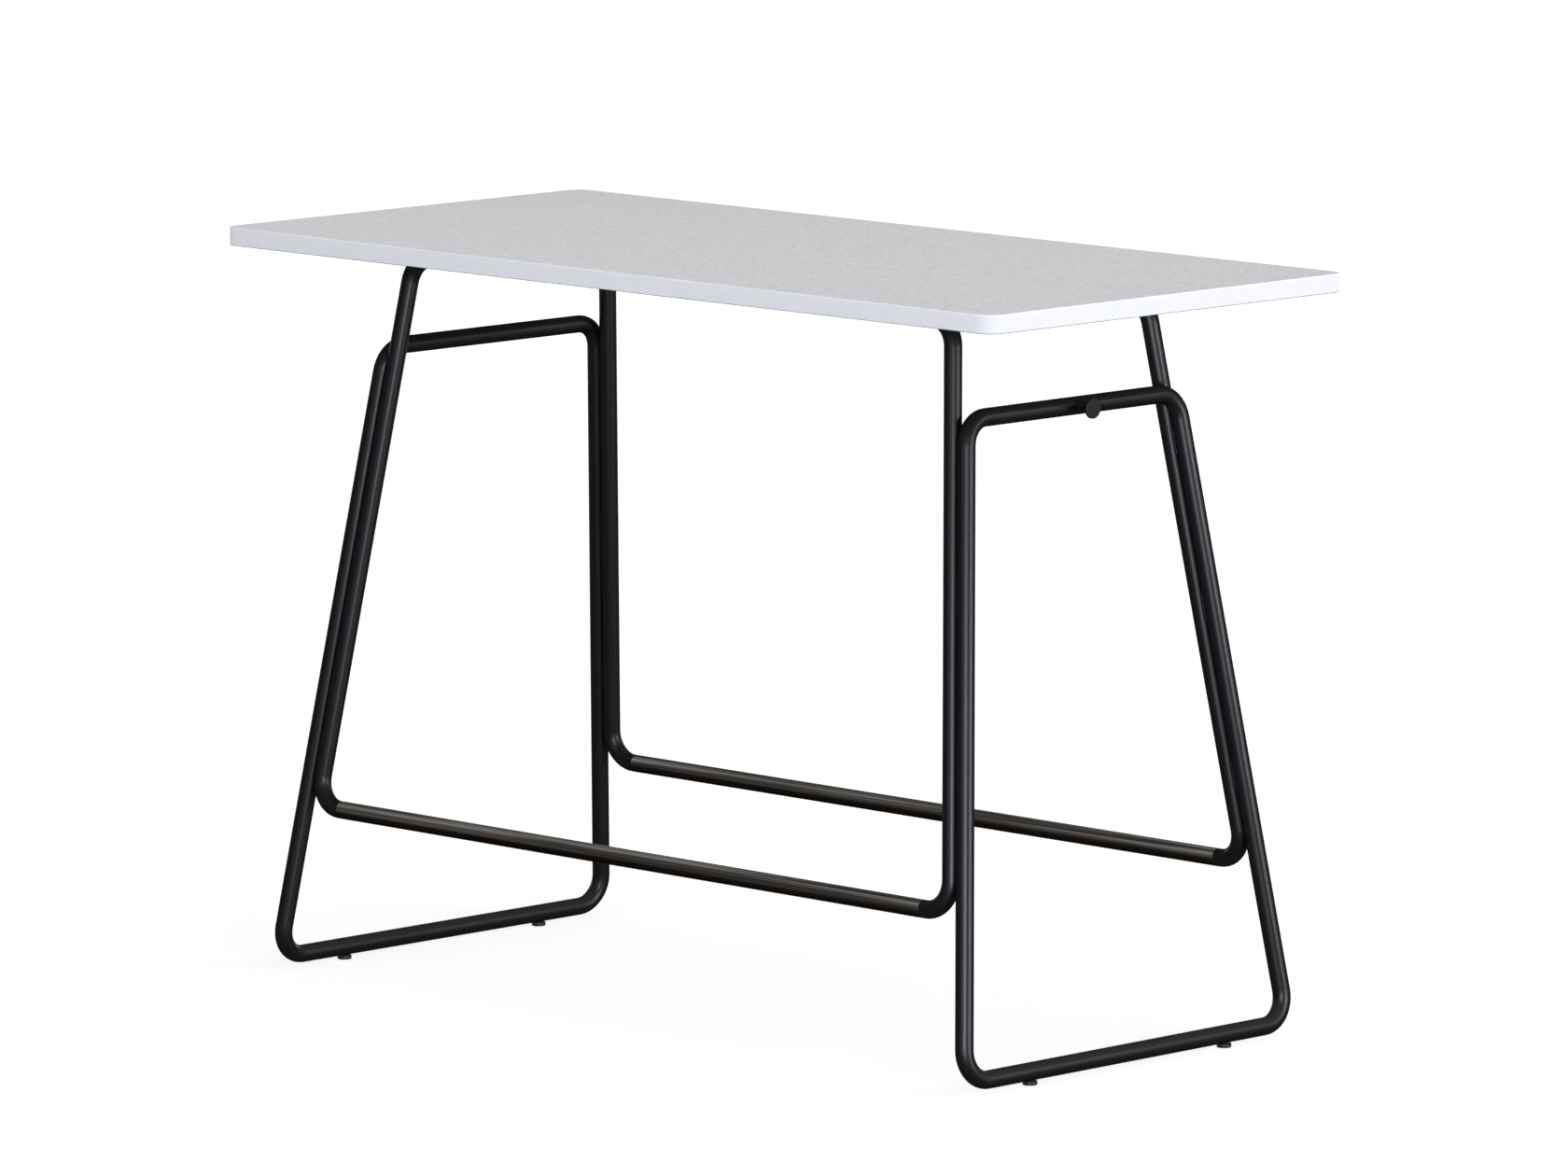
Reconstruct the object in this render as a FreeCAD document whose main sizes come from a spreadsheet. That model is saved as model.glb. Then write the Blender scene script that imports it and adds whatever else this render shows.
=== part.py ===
import FreeCAD, Part
import math
import os
import Sketcher
from FreeCAD import Placement, Rotation, Vector

# A bar table: a white laminated top on four bent tube loops.
# +Z is up, +X runs along the table and -Y is the front.
# The origin is on the floor, under the middle of the top.

doc = FreeCAD.newDocument("bar_table")

# Driving dimensions in millimetres
sizes = doc.addObject("Spreadsheet::Sheet", "Sizes")
driving = [
    # tabletop
    ("table_length", 1500.0), ("table_width", 700.0), ("table_height", 1057.0),
    ("corner_radius", 25.0), ("core_thickness", 24.0), ("laminate_thickness", 0.8),
    ("edge_band", 2.0), ("edge_round", 1.5),
    # tube loops; the insets of an end loop's bars run from the edges of the tabletop
    ("tube_diameter", 25.0), ("tube_wall", 2.0), ("bend_radius", 40.0),
    ("foot_end_inset", 75.0), ("top_end_inset", 183.0), ("foot_side_inset", 31.0),
    ("top_side_inset", 144.5), ("end_bar_drop", 167.0), ("weld_gap", 0.1),
    # foot bars and the swaged tube ends that carry them
    ("foot_bar_height", 238.5), ("foot_bar_stub", 3.7), ("foot_bar_wall", 1.5),
    ("foot_bar_chamfer", 0.4), ("joint_groove", 1.5), ("swage_length", 20.0), ("swage_wall", 1.5),
    ("swage_root", 3.0),
    ("grub_radius", 2.5), ("grub_inset", 10.0), ("grub_sink", 0.3),
    # weld beads; the gaps run from the bends below and above them
    ("bead_radius", 3.0), ("bead_length", 40.0), ("bead_rise", 5.5), ("bead_foot_gap", 60.8),
    ("bead_top_gap", 10.8), ("bead_count", 3), ("tab_bead_radius", 2.5),
    # fixing of the top
    ("fixing_inset", 125.7), ("tab_width", 40.0), ("tab_thickness", 4.0), ("tab_root", 6.0),
    ("tab_reach", 42.0), ("tab_corner", 8.0), ("tab_hole_reach", 28.0),
    ("screw_radius", 3.0), ("screw_length", 20.0), ("screw_head_radius", 5.5),
    ("screw_head_height", 3.4), ("screw_head_round", 1.2), ("screw_hole_slack", 0.3),
    ("washer_radius", 6.5), ("washer_thickness", 1.6),
    ("board_insert_radius", 5.0), ("board_insert_gap", 1.0), ("board_hole_extra", 1.6),
    # bag hook
    ("hook_reach", 40.0), ("hook_head_radius", 14.0), ("hook_head_thickness", 4.0),
    ("hook_head_round", 0.8), ("hook_neck_radius", 7.5), ("hook_stud_radius", 3.0),
    ("hook_stud_grip", 15.0), ("hook_insert_radius", 4.5), ("hook_insert_length", 11.0),
    # glides
    ("glide_inset", 127.0), ("glide_height", 5.5), ("glide_radius", 10.2), ("glide_round", 1.0),
    ("glide_gap", 0.3), ("glide_floor", 1.2), ("glide_lip", 1.5), ("glide_key_radius", 3.2),
    ("stud_radius", 4.0), ("stud_head_radius", 6.5), ("stud_top_gap", 3.25), ("stud_socket_depth", 4.0),
    ("stud_socket_radius", 2.3), ("tube_insert_radius", 5.5), ("tube_insert_length", 13.0),
    # fits
    ("running_fit", 0.05), ("seat_fit", 0.05), ("cut_overrun", 5.0),
]
for row, (alias, millimetres) in enumerate(driving, start=1):
    sizes.set("A%d" % row, str(millimetres))
    sizes.setAlias("A%d" % row, alias)
doc.recompute()

# Sizes and places that follow from the driving ones
layout = doc.addObject("Spreadsheet::Sheet", "Layout")
followers = [
    ("tube_radius", "Sizes.tube_diameter / 2"),
    ("bore_radius", "tube_radius - Sizes.tube_wall"),
    ("foot_axis", "Sizes.glide_height + tube_radius"),
    ("end_foot_reach", "Sizes.table_length / 2 - Sizes.foot_end_inset"),
    ("end_top_reach", "Sizes.table_length / 2 - Sizes.top_end_inset"),
    ("end_foot_half", "Sizes.table_width / 2 - Sizes.foot_side_inset"),
    ("end_top_half", "Sizes.table_width / 2 - Sizes.top_side_inset"),
    ("end_bar_height", "Sizes.table_height - Sizes.end_bar_drop"),
    ("leg_run_x", "end_foot_reach - end_top_reach"),
    ("leg_run_y", "end_foot_half - end_top_half"),
    ("leg_rise", "end_bar_height - foot_axis"),
    ("leg_length", "sqrt(leg_run_x ^ 2 + leg_run_y ^ 2 + leg_rise ^ 2)"),
    ("end_slant", "sqrt(leg_run_x ^ 2 + leg_rise ^ 2)"),
    ("end_lean", "atan(leg_run_x / leg_rise)"),
    ("side_lean", "atan(leg_run_y / leg_rise)"),
    ("leg_turn", "asin(leg_run_x / leg_length)"),
    ("end_bend_reach", "Sizes.bend_radius * tan(45 deg - atan(leg_run_y / end_slant) / 2)"),
    ("leg_pitch", "Sizes.tube_diameter + Sizes.weld_gap"),
    ("leg_offset", "leg_pitch / cos(leg_turn)"),
    ("board_thickness", "Sizes.core_thickness + 2 * Sizes.laminate_thickness"),
    ("underside", "Sizes.table_height - board_thickness"),
    ("top_bar", "underside - tube_radius"),
    ("side_drop", "top_bar - Sizes.foot_bar_height"),
    ("side_slant", "side_drop / cos(side_lean)"),
    ("rise_share", "(top_bar - foot_axis) / leg_rise"),
    ("side_top_half", "end_foot_reach - leg_offset - leg_run_x * rise_share"),
    ("side_foot_half", "side_top_half + side_drop * leg_run_x / leg_rise"),
    ("side_top_reach", "end_foot_half - leg_run_y * rise_share"),
    ("side_foot_reach", "side_top_reach + side_drop * leg_run_y / leg_rise"),
    ("side_bend_reach", "Sizes.bend_radius * tan(45 deg + asin(leg_run_x / leg_length) / 2)"),
    ("painted_end", "side_foot_half - side_bend_reach - Sizes.foot_bar_stub"),
    ("foot_bar_half", "painted_end - Sizes.joint_groove"),
    ("swage_radius", "tube_radius - Sizes.foot_bar_wall - Sizes.seat_fit"),
    ("grub_place", "foot_bar_half - Sizes.grub_inset"),
    ("foot_bar_rise", "(Sizes.foot_bar_height - foot_axis) * leg_length / leg_rise"),
    ("bead_low", "foot_bar_rise + side_bend_reach + Sizes.bead_foot_gap"),
    ("bead_high", "leg_length - end_bend_reach - Sizes.bead_top_gap - Sizes.bead_length"),
    ("fixing_reach", "side_top_reach - Sizes.tab_hole_reach"),
    ("fixing_spacing", "side_top_half - Sizes.fixing_inset"),
    ("board_hole", "Sizes.screw_length - Sizes.tab_thickness - Sizes.washer_thickness"
                   " + Sizes.board_hole_extra"),
    ("core_length", "Sizes.table_length - 2 * Sizes.edge_band"),
    ("core_width", "Sizes.table_width - 2 * Sizes.edge_band"),
    ("core_corner", "Sizes.corner_radius - Sizes.edge_band"),
    ("glide_reach", "end_foot_half - Sizes.glide_inset"),
    ("pad_top", "Sizes.glide_height - Sizes.glide_gap"),
    ("stud_top", "foot_axis + bore_radius - Sizes.stud_top_gap"),
    ("tube_insert_sink", "sqrt(tube_radius ^ 2 - Sizes.tube_insert_radius ^ 2)"),
    ("hook_insert_sink", "sqrt(tube_radius ^ 2 - Sizes.hook_insert_radius ^ 2)"),
]
for row, (alias, formula) in enumerate(followers, start=1):
    layout.set("A%d" % row, "=" + formula)
    layout.setAlias("A%d" % row, alias)
doc.recompute()


def value(expression):
    """The number that an expression on the sheets gives now."""
    found = layout.evalExpression(expression)
    return float(getattr(found, "Value", found))


def new_body(label):
    body = doc.addObject("PartDesign::Body", label)
    body.Label = label
    body.AllowCompound = True
    return body


def plane(body, role):
    return [feature for feature in body.Origin.OriginFeatures if feature.Role == role][0]


def new_sketch(body, name, role, lift=None, lean=None, turned=False):
    """A sketch on one of the body's own planes, lifted off it, leaned about the sketch's X axis,
    or turned half round in its plane."""
    sketch = body.newObject("Sketcher::SketchObject", name)
    sketch.AttachmentSupport = [(plane(body, role), "")]
    sketch.MapMode = "FlatFace"
    if lift:
        sketch.setExpression("AttachmentOffset.Base.z", lift)
    if lean:
        sketch.AttachmentOffset = Placement(Vector(), Rotation(Vector(1, 0, 0), value(lean)))
        sketch.setExpression("AttachmentOffset.Rotation.Angle", lean)
    if turned:
        sketch.AttachmentOffset = Placement(Vector(), Rotation(Vector(0, 0, 1), 180))
    return sketch


def pin_point(sketch, geometry, position, across, up):
    """Tie one point of a sketch to its place, given as expressions."""
    for kind, expression in (("DistanceX", across), ("DistanceY", up)):
        number = value(expression)
        index = sketch.addConstraint(Sketcher.Constraint(kind, -1, 1, geometry, position, number))
        sketch.setExpression("Constraints[%d]" % index, expression)


def draw_circle(sketch, across, up, radius):
    centre = Vector(value(across), value(up), 0)
    circle = sketch.addGeometry(Part.Circle(centre, Vector(0, 0, 1), value(radius)), False)
    pin_point(sketch, circle, 3, across, up)
    index = sketch.addConstraint(Sketcher.Constraint("Radius", circle, value(radius)))
    sketch.setExpression("Constraints[%d]" % index, radius)
    return circle


def draw_ring(sketch, across, up, outer, inner):
    draw_circle(sketch, across, up, outer)
    draw_circle(sketch, across, up, inner)


def draw_outline(sketch, corners):
    """A closed outline of straight lines through corners given as pairs of expressions."""
    places = [Vector(value(across), value(up), 0) for across, up in corners]
    lines = []
    for index, place in enumerate(places):
        following = places[(index + 1) % len(places)]
        lines.append(sketch.addGeometry(Part.LineSegment(place, following), False))
    for index, line in enumerate(lines):
        following = lines[(index + 1) % len(lines)]
        sketch.addConstraint(Sketcher.Constraint("Coincident", line, 2, following, 1))
    for line, (across, up) in zip(lines, corners):
        pin_point(sketch, line, 1, across, up)


def draw_box(sketch, left, right, low, high):
    draw_outline(sketch, [(left, low), (right, low), (right, high), (left, high)])


def draw_bent_path(sketch, corners, radius, closed=False):
    """Straight runs with a tangent arc of one radius at every corner between them."""
    places = [Vector(value(across), value(up), 0) for across, up in corners]
    count = len(places)
    bend = value(radius)
    turning = list(range(count)) if closed else list(range(1, count - 1))
    arcs = []
    for index in turning:
        corner = places[index]
        arriving = (corner - places[index - 1]).normalize()
        leaving = (places[(index + 1) % count] - corner).normalize()
        turn = arriving.getAngle(leaving)
        reach = bend * math.tan(turn / 2)
        inward = (leaving - arriving).normalize()
        middle = corner + inward * (bend / math.cos(turn / 2) - bend)
        arcs.append((corner - arriving * reach, middle, corner + leaving * reach))
    starts = [leaves for enters, middle, leaves in arcs]
    ends = [enters for enters, middle, leaves in arcs]
    if closed:
        ends = ends[1:] + ends[:1]
    else:
        starts = [places[0]] + starts
        ends = ends + [places[-1]]
    lines = [sketch.addGeometry(Part.LineSegment(first, last), False) for first, last in zip(starts, ends)]
    before = lines[-1:] + lines[:-1] if closed else lines[:-1]
    after = lines if closed else lines[1:]
    for index, (enters, middle, leaves), arriving, leaving in zip(turning, arcs, before, after):
        arc = sketch.addGeometry(Part.Arc(enters, middle, leaves), False)
        starts_here = (sketch.getPoint(arc, 1) - enters).Length < (sketch.getPoint(arc, 2) - enters).Length
        side = 1 if starts_here else 2
        sketch.addConstraint(Sketcher.Constraint("Tangent", arriving, 2, arc, side))
        sketch.addConstraint(Sketcher.Constraint("Tangent", arc, 3 - side, leaving, 1))
        limit = sketch.addConstraint(Sketcher.Constraint("Radius", arc, bend))
        sketch.setExpression("Constraints[%d]" % limit, radius)
        # the corner is a point that the runs on both sides of it aim at
        mark = sketch.addGeometry(Part.Point(places[index]), True)
        pin_point(sketch, mark, 1, *corners[index])
        sketch.addConstraint(Sketcher.Constraint("PointOnObject", mark, 1, arriving))
        sketch.addConstraint(Sketcher.Constraint("PointOnObject", mark, 1, leaving))
    if not closed:
        pin_point(sketch, lines[0], 1, *corners[0])
        pin_point(sketch, lines[-1], 2, *corners[-1])


def draw_rounded_box(sketch, length, width, corner):
    left, right = "-(%s) / 2" % length, "(%s) / 2" % length
    low, high = "-(%s) / 2" % width, "(%s) / 2" % width
    draw_bent_path(sketch, [(left, low), (right, low), (right, high), (left, high)], corner, closed=True)


def pad(body, name, sketch, length, reversed_way=False, both_ways=False):
    feature = body.newObject("PartDesign::Pad", name)
    feature.Profile = sketch
    feature.setExpression("Length", length)
    feature.Reversed = reversed_way
    feature.Midplane = both_ways
    return feature


def pocket(body, name, sketch, length, towards=False, through=False):
    """A cut that must take something away: its direction is set, and the volume is compared."""
    doc.recompute()
    before = body.Shape.Volume
    feature = body.newObject("PartDesign::Pocket", name)
    feature.Profile = sketch
    feature.Reversed = towards
    if through:
        feature.Type = "ThroughAll"
        feature.Midplane = True
    else:
        feature.setExpression("Length", length)
    doc.recompute()
    if not body.Shape.Volume < before:
        raise RuntimeError("%s in %s cuts nothing" % (name, body.Label))
    return feature


def sweep(body, name, profile, path):
    feature = body.newObject("PartDesign::AdditivePipe", name)
    feature.Profile = profile
    doc.recompute()
    edges = ["Edge%d" % (index + 1) for index in range(len(path.Shape.Edges))]
    feature.Spine = (path, edges)
    return feature


def mirror(body, name, originals, role):
    feature = body.newObject("PartDesign::Mirrored", name)
    feature.Originals = originals
    feature.MirrorPlane = (plane(body, role), [""])
    body.Tip = feature
    return feature


def revolve(body, name, sketch, axis):
    feature = body.newObject("PartDesign::Revolution", name)
    feature.Profile = sketch
    feature.ReferenceAxis = (sketch, [axis])
    feature.Angle = 360.0
    return feature


def edges_where(feature, test):
    doc.recompute()
    return ["Edge%d" % (index + 1) for index, edge in enumerate(feature.Shape.Edges) if test(edge)]


def dress(body, kind, name, feature, test, size_name, size):
    """A fillet or chamfer on the edges that a test picks."""
    names = edges_where(feature, test)
    dressed = body.newObject("PartDesign::" + kind, name)
    dressed.Base = (feature, names)
    dressed.setExpression(size_name, size)
    return dressed


def place(body, across, deep, up):
    body.setExpression("Placement.Base.x", across)
    body.setExpression("Placement.Base.y", deep)
    body.setExpression("Placement.Base.z", up)


def is_upright(edge):
    return max(edge.BoundBox.XLength, edge.BoundBox.YLength) < value("Sizes.seat_fit")


def rounded_board(label, length, width, corner, thickness, bottom):
    """A flat sheet with four rounded corners."""
    body = new_body(label)
    outline = new_sketch(body, label + "_outline", "XY_Plane")
    draw_rounded_box(outline, length, width, corner)
    pad(body, label + "_sheet", outline, thickness)
    place(body, "0", "0", bottom)
    return body


# The six places where the top is screwed down, as pairs of expressions
fixing_rows = ["-Layout.fixing_reach", "Layout.fixing_reach"]
fixing_columns = ["-Layout.fixing_spacing", "0", "Layout.fixing_spacing"]
fixings = [(column, row) for row in fixing_rows for column in fixing_columns]

# Tabletop core, drilled from below for the threaded inserts
core = rounded_board("tabletop_core", "Layout.core_length", "Layout.core_width", "Layout.core_corner",
                     "Sizes.core_thickness", "Layout.underside + Sizes.laminate_thickness")
holes = new_sketch(core, "core_holes", "XY_Plane")
for across, deep in fixings:
    draw_circle(holes, across, deep, "Sizes.board_insert_radius + Sizes.seat_fit")
pocket(core, "core_drilling", holes, "Layout.board_hole - Sizes.laminate_thickness", towards=True)

# Decorative laminate on the core, and the plain backing sheet below it
rounded_board("tabletop_laminate", "Layout.core_length", "Layout.core_width", "Layout.core_corner",
              "Sizes.laminate_thickness", "Sizes.table_height - Sizes.laminate_thickness")
backing = rounded_board("tabletop_backing", "Layout.core_length", "Layout.core_width", "Layout.core_corner",
                        "Sizes.laminate_thickness", "Layout.underside")
holes = new_sketch(backing, "backing_holes", "XY_Plane")
for across, deep in fixings:
    draw_circle(holes, across, deep, "Sizes.board_insert_radius + Sizes.seat_fit")
pocket(backing, "backing_drilling", holes, "Sizes.laminate_thickness", towards=True)

# Edge band: a rounded frame round the three layers, its outer edges rounded over
band = rounded_board("tabletop_edge_band", "Sizes.table_length", "Sizes.table_width", "Sizes.corner_radius",
                     "Layout.board_thickness", "Layout.underside")
opening = new_sketch(band, "band_opening", "XY_Plane")
draw_rounded_box(opening, "Layout.core_length", "Layout.core_width", "Layout.core_corner")
band_frame = pocket(band, "band_inside", opening, "Layout.board_thickness", towards=True)


def is_outer_rim(edge):
    box = edge.BoundBox
    flat = box.ZLength < value("Sizes.seat_fit")
    outside_x = max(abs(box.XMin), abs(box.XMax)) > value("Layout.core_length / 2 + Sizes.seat_fit")
    outside_y = max(abs(box.YMin), abs(box.YMax)) > value("Layout.core_width / 2 + Sizes.seat_fit")
    return flat and (outside_x or outside_y)


dress(band, "Fillet", "band_rounded_edges", band_frame, is_outer_rim, "Radius", "Sizes.edge_round")

# Threaded inserts, flush with the underside of the top
inserts = new_body("tabletop_inserts")
rings = new_sketch(inserts, "insert_rings", "XY_Plane")
for across, deep in fixings:
    draw_ring(rings, across, deep, "Sizes.board_insert_radius", "Sizes.screw_radius + Sizes.running_fit")
pad(inserts, "insert_length", rings, "Layout.board_hole - Sizes.board_insert_gap")
place(inserts, "0", "0", "Layout.underside")

# End loops: closed trapezoids of tube that lean outward towards the floor.
# The frame of each starts at the middle of its floor bar, and the tube's seam is on its inner side.
for side, sign in (("left", "-1"), ("right", "1")):
    loop = new_body("end_loop_" + side)
    path = new_sketch(loop, "end_path_" + side, "YZ_Plane", lean="-(%s) * Layout.end_lean" % sign)
    draw_bent_path(path, [("0", "0"), ("Layout.end_foot_half", "0"),
                          ("Layout.end_top_half", "Layout.end_slant"), ("0", "Layout.end_slant")],
                   "Sizes.bend_radius")
    section = new_sketch(loop, "end_section_" + side, "XZ_Plane", turned=side == "right")
    draw_ring(section, "0", "0", "Layout.tube_radius", "Layout.bore_radius")
    half = sweep(loop, "end_half_" + side, section, path)
    mirror(loop, "end_whole_" + side, [half], "XZ_Plane")
    holes = new_sketch(loop, "glide_holes_" + side, "XY_Plane")
    for row in ("-Layout.glide_reach", "Layout.glide_reach"):
        draw_circle(holes, "0", row, "Sizes.tube_insert_radius + Sizes.seat_fit")
    pocket(loop, "glide_drilling_" + side, holes, "Layout.tube_radius + Sizes.cut_overrun")
    if side == "right":
        hook_hole = new_sketch(loop, "hook_hole", "YZ_Plane", lift="-Layout.leg_run_x")
        draw_circle(hook_hole, "0", "Layout.leg_rise", "Sizes.hook_insert_radius + Sizes.seat_fit")
        pocket(loop, "hook_drilling", hook_hole, "Layout.tube_radius + Sizes.cut_overrun", towards=True)
    place(loop, "(%s) * Layout.end_foot_reach" % sign, "0", "Layout.foot_axis")

# Side loops: tube bent to an open C, with swaged ends that the foot bar slides over.
# The frame of each starts at the middle of its top bar, and the seams are on the inner side.
for side, sign in (("front", "-1"), ("back", "1")):
    loop = new_body("side_loop_" + side)
    path = new_sketch(loop, "side_path_" + side, "XZ_Plane", lean="(%s) * Layout.side_lean" % sign)
    draw_bent_path(path, [("0", "0"), ("Layout.side_top_half", "0"),
                          ("Layout.side_foot_half", "-Layout.side_slant"),
                          ("Layout.painted_end", "-Layout.side_slant")], "Sizes.bend_radius")
    section = new_sketch(loop, "side_section_" + side, "YZ_Plane", turned=side == "back")
    draw_ring(section, "0", "0", "Layout.tube_radius", "Layout.bore_radius")
    half = sweep(loop, "side_half_" + side, section, path)
    foot_y = "(%s) * (Layout.side_foot_reach - Layout.side_top_reach)" % sign
    neck_bore = "Layout.swage_radius - Sizes.swage_wall"
    shoulder = new_sketch(loop, "swage_shoulder_" + side, "YZ_Plane", lift="Layout.painted_end")
    draw_ring(shoulder, foot_y, "-Layout.side_drop", "Layout.tube_radius - Sizes.tube_wall / 2", neck_bore)
    root = pad(loop, "swage_root_" + side, shoulder, "Sizes.swage_root")
    section = new_sketch(loop, "swage_section_" + side, "YZ_Plane", lift="Layout.painted_end")
    draw_ring(section, foot_y, "-Layout.side_drop", "Layout.swage_radius", neck_bore)
    neck = pad(loop, "swage_" + side, section, "Sizes.joint_groove + Sizes.swage_length", reversed_way=True)
    grub = new_sketch(loop, "grub_hole_" + side, "XY_Plane", lift="-Layout.side_drop")
    draw_circle(grub, "Layout.grub_place", foot_y, "Sizes.grub_radius + Sizes.seat_fit")
    grub_cut = pocket(loop, "grub_drilling_" + side, grub, "Layout.tube_radius + Sizes.cut_overrun")
    mirror(loop, "side_whole_" + side, [half, root, neck, grub_cut], "YZ_Plane")
    place(loop, "0", "(%s) * Layout.side_top_reach" % sign, "Layout.top_bar")

    # Foot bar of bare brushed tube
    bar = new_body("foot_bar_" + side)
    section = new_sketch(bar, "bar_section_" + side, "YZ_Plane", turned=side == "back")
    draw_ring(section, "0", "0", "Layout.tube_radius", "Layout.tube_radius - Sizes.foot_bar_wall")
    tube = pad(bar, "bar_tube_" + side, section, "2 * Layout.foot_bar_half", both_ways=True)

    def is_end_rim(edge):
        box = edge.BoundBox
        outside = box.YLength > value("2 * Layout.swage_radius + Sizes.foot_bar_wall")
        return outside and box.XLength < value("Sizes.seat_fit")

    dress(bar, "Chamfer", "bar_ends_" + side, tube, is_end_rim, "Size", "Sizes.foot_bar_chamfer")
    grub = new_sketch(bar, "bar_grub_holes_" + side, "XY_Plane")
    for column in ("-Layout.grub_place", "Layout.grub_place"):
        draw_circle(grub, column, "0", "Sizes.grub_radius + Sizes.seat_fit")
    pocket(bar, "bar_drilling_" + side, grub, "Layout.tube_radius + Sizes.cut_overrun")
    place(bar, "0", "(%s) * Layout.side_foot_reach" % sign, "Sizes.foot_bar_height")

# Grub screws that lock the foot bars on the swaged ends, from below
grubs = new_body("foot_bar_grub_screws")
circles = new_sketch(grubs, "grub_circles", "XY_Plane",
                     lift="Sizes.foot_bar_height - Layout.tube_radius + Sizes.grub_sink")
for across in ("-Layout.grub_place", "Layout.grub_place"):
    for deep in ("-Layout.side_foot_reach", "Layout.side_foot_reach"):
        draw_circle(circles, across, deep, "Sizes.grub_radius")
pad(grubs, "grub_length", circles, "Sizes.foot_bar_wall + Sizes.seat_fit + Sizes.swage_wall")

# Weld beads in the inner valley between each pair of legs.
# Each frame stands at the foot of the end loop's leg line, its Z axis along the legs.
for front, deep_sign in (("front", "-1"), ("back", "1")):
    for side, sign in (("left", "-1"), ("right", "1")):
        corner = front + "_" + side
        beads = new_body("leg_welds_" + corner)
        stick = new_sketch(beads, "leg_bead_" + corner, "XY_Plane", lift="Layout.bead_low")
        draw_circle(stick, "-(%s) * Layout.leg_pitch / 2" % sign, "-(%s) * Sizes.bead_rise" % deep_sign,
                    "Sizes.bead_radius")
        first = pad(beads, "leg_bead_length_" + corner, stick, "Sizes.bead_length")
        row_of_beads = beads.newObject("PartDesign::LinearPattern", "leg_beads_" + corner)
        row_of_beads.Originals = [first]
        row_of_beads.Direction = (plane(beads, "Z_Axis"), [""])
        row_of_beads.setExpression("Length", "Layout.bead_high - Layout.bead_low")
        row_of_beads.setExpression("Occurrences", "Sizes.bead_count")
        beads.Tip = row_of_beads
        legs = new_sketch(beads, "leg_clearance_" + corner, "XY_Plane")
        draw_circle(legs, "0", "0", "Layout.tube_radius + Sizes.seat_fit")
        draw_circle(legs, "-(%s) * Layout.leg_pitch" % sign, "0", "Layout.tube_radius + Sizes.seat_fit")
        pocket(beads, "leg_bead_trim_" + corner, legs, None, through=True)
        foot = "(%s) * Layout.end_foot_reach; (%s) * Layout.end_foot_half" % (sign, deep_sign)
        leans = "rotationx((%s) * Layout.side_lean) * rotationy(-(%s) * Layout.leg_turn)" % (deep_sign, sign)
        beads.setExpression("Placement", "placement(vector(%s; Layout.foot_axis); %s)" % (foot, leans))

# Fixing tabs: flat plates welded to the inner side of each top bar, against the underside of the top
for side, sign in (("front", "-1"), ("back", "1")):
    tabs = new_body("fixing_tabs_" + side)
    plates = new_sketch(tabs, "tab_outline_" + side, "XY_Plane")
    root = "-(%s) * Sizes.tab_root" % sign
    free = "-(%s) * Sizes.tab_reach" % sign
    hole = "-(%s) * Sizes.tab_hole_reach" % sign
    for column in fixing_columns:
        left = column + " - Sizes.tab_width / 2"
        right = column + " + Sizes.tab_width / 2"
        low, high = (free, root) if sign == "1" else (root, free)
        draw_box(plates, left, right, low, high)
        draw_circle(plates, column, hole, "Sizes.screw_radius + Sizes.screw_hole_slack")
    plate = pad(tabs, "tab_plate_" + side, plates, "Sizes.tab_thickness", reversed_way=True)

    def is_free_corner(edge):
        return is_upright(edge) and abs(edge.Vertexes[0].Y) > value("Sizes.tab_reach - Sizes.tab_corner")

    dress(tabs, "Fillet", "tab_corners_" + side, plate, is_free_corner, "Radius", "Sizes.tab_corner")
    cope = new_sketch(tabs, "tab_cope_" + side, "YZ_Plane")
    draw_circle(cope, "0", "-Layout.tube_radius", "Layout.tube_radius + Sizes.seat_fit")
    pocket(tabs, "tab_coping_" + side, cope, None, through=True)
    place(tabs, "0", "(%s) * Layout.side_top_reach" % sign, "Layout.underside")

    # A bead under each tab, where it meets the round of the bar
    beads = new_body("tab_welds_" + side)
    bead = new_sketch(beads, "tab_bead_" + side, "YZ_Plane",
                      lift="-Layout.fixing_spacing - Sizes.tab_width / 2")
    corner_reach = "sqrt(Layout.tube_radius ^ 2 - (Layout.tube_radius - Sizes.tab_thickness) ^ 2)"
    draw_circle(bead, "-(%s) * %s" % (sign, corner_reach), "-Sizes.tab_thickness",
                "Sizes.tab_bead_radius")
    first = pad(beads, "tab_bead_length_" + side, bead, "Sizes.tab_width")
    row_of_beads = beads.newObject("PartDesign::LinearPattern", "tab_beads_" + side)
    row_of_beads.Originals = [first]
    row_of_beads.Direction = (plane(beads, "X_Axis"), [""])
    row_of_beads.setExpression("Length", "2 * Layout.fixing_spacing")
    row_of_beads.Occurrences = len(fixing_columns)
    beads.Tip = row_of_beads
    trim = new_sketch(beads, "tab_bead_tube_" + side, "YZ_Plane")
    draw_circle(trim, "0", "-Layout.tube_radius", "Layout.tube_radius + Sizes.seat_fit")
    pocket(beads, "tab_bead_tube_trim_" + side, trim, None, through=True)
    trim = new_sketch(beads, "tab_bead_plate_" + side, "YZ_Plane")
    draw_box(trim, "-Sizes.tab_reach", "Sizes.tab_reach", "-Sizes.tab_thickness", "0")
    pocket(beads, "tab_bead_plate_trim_" + side, trim, None, through=True)
    place(beads, "0", "(%s) * Layout.side_top_reach" % sign, "Layout.underside")

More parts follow.
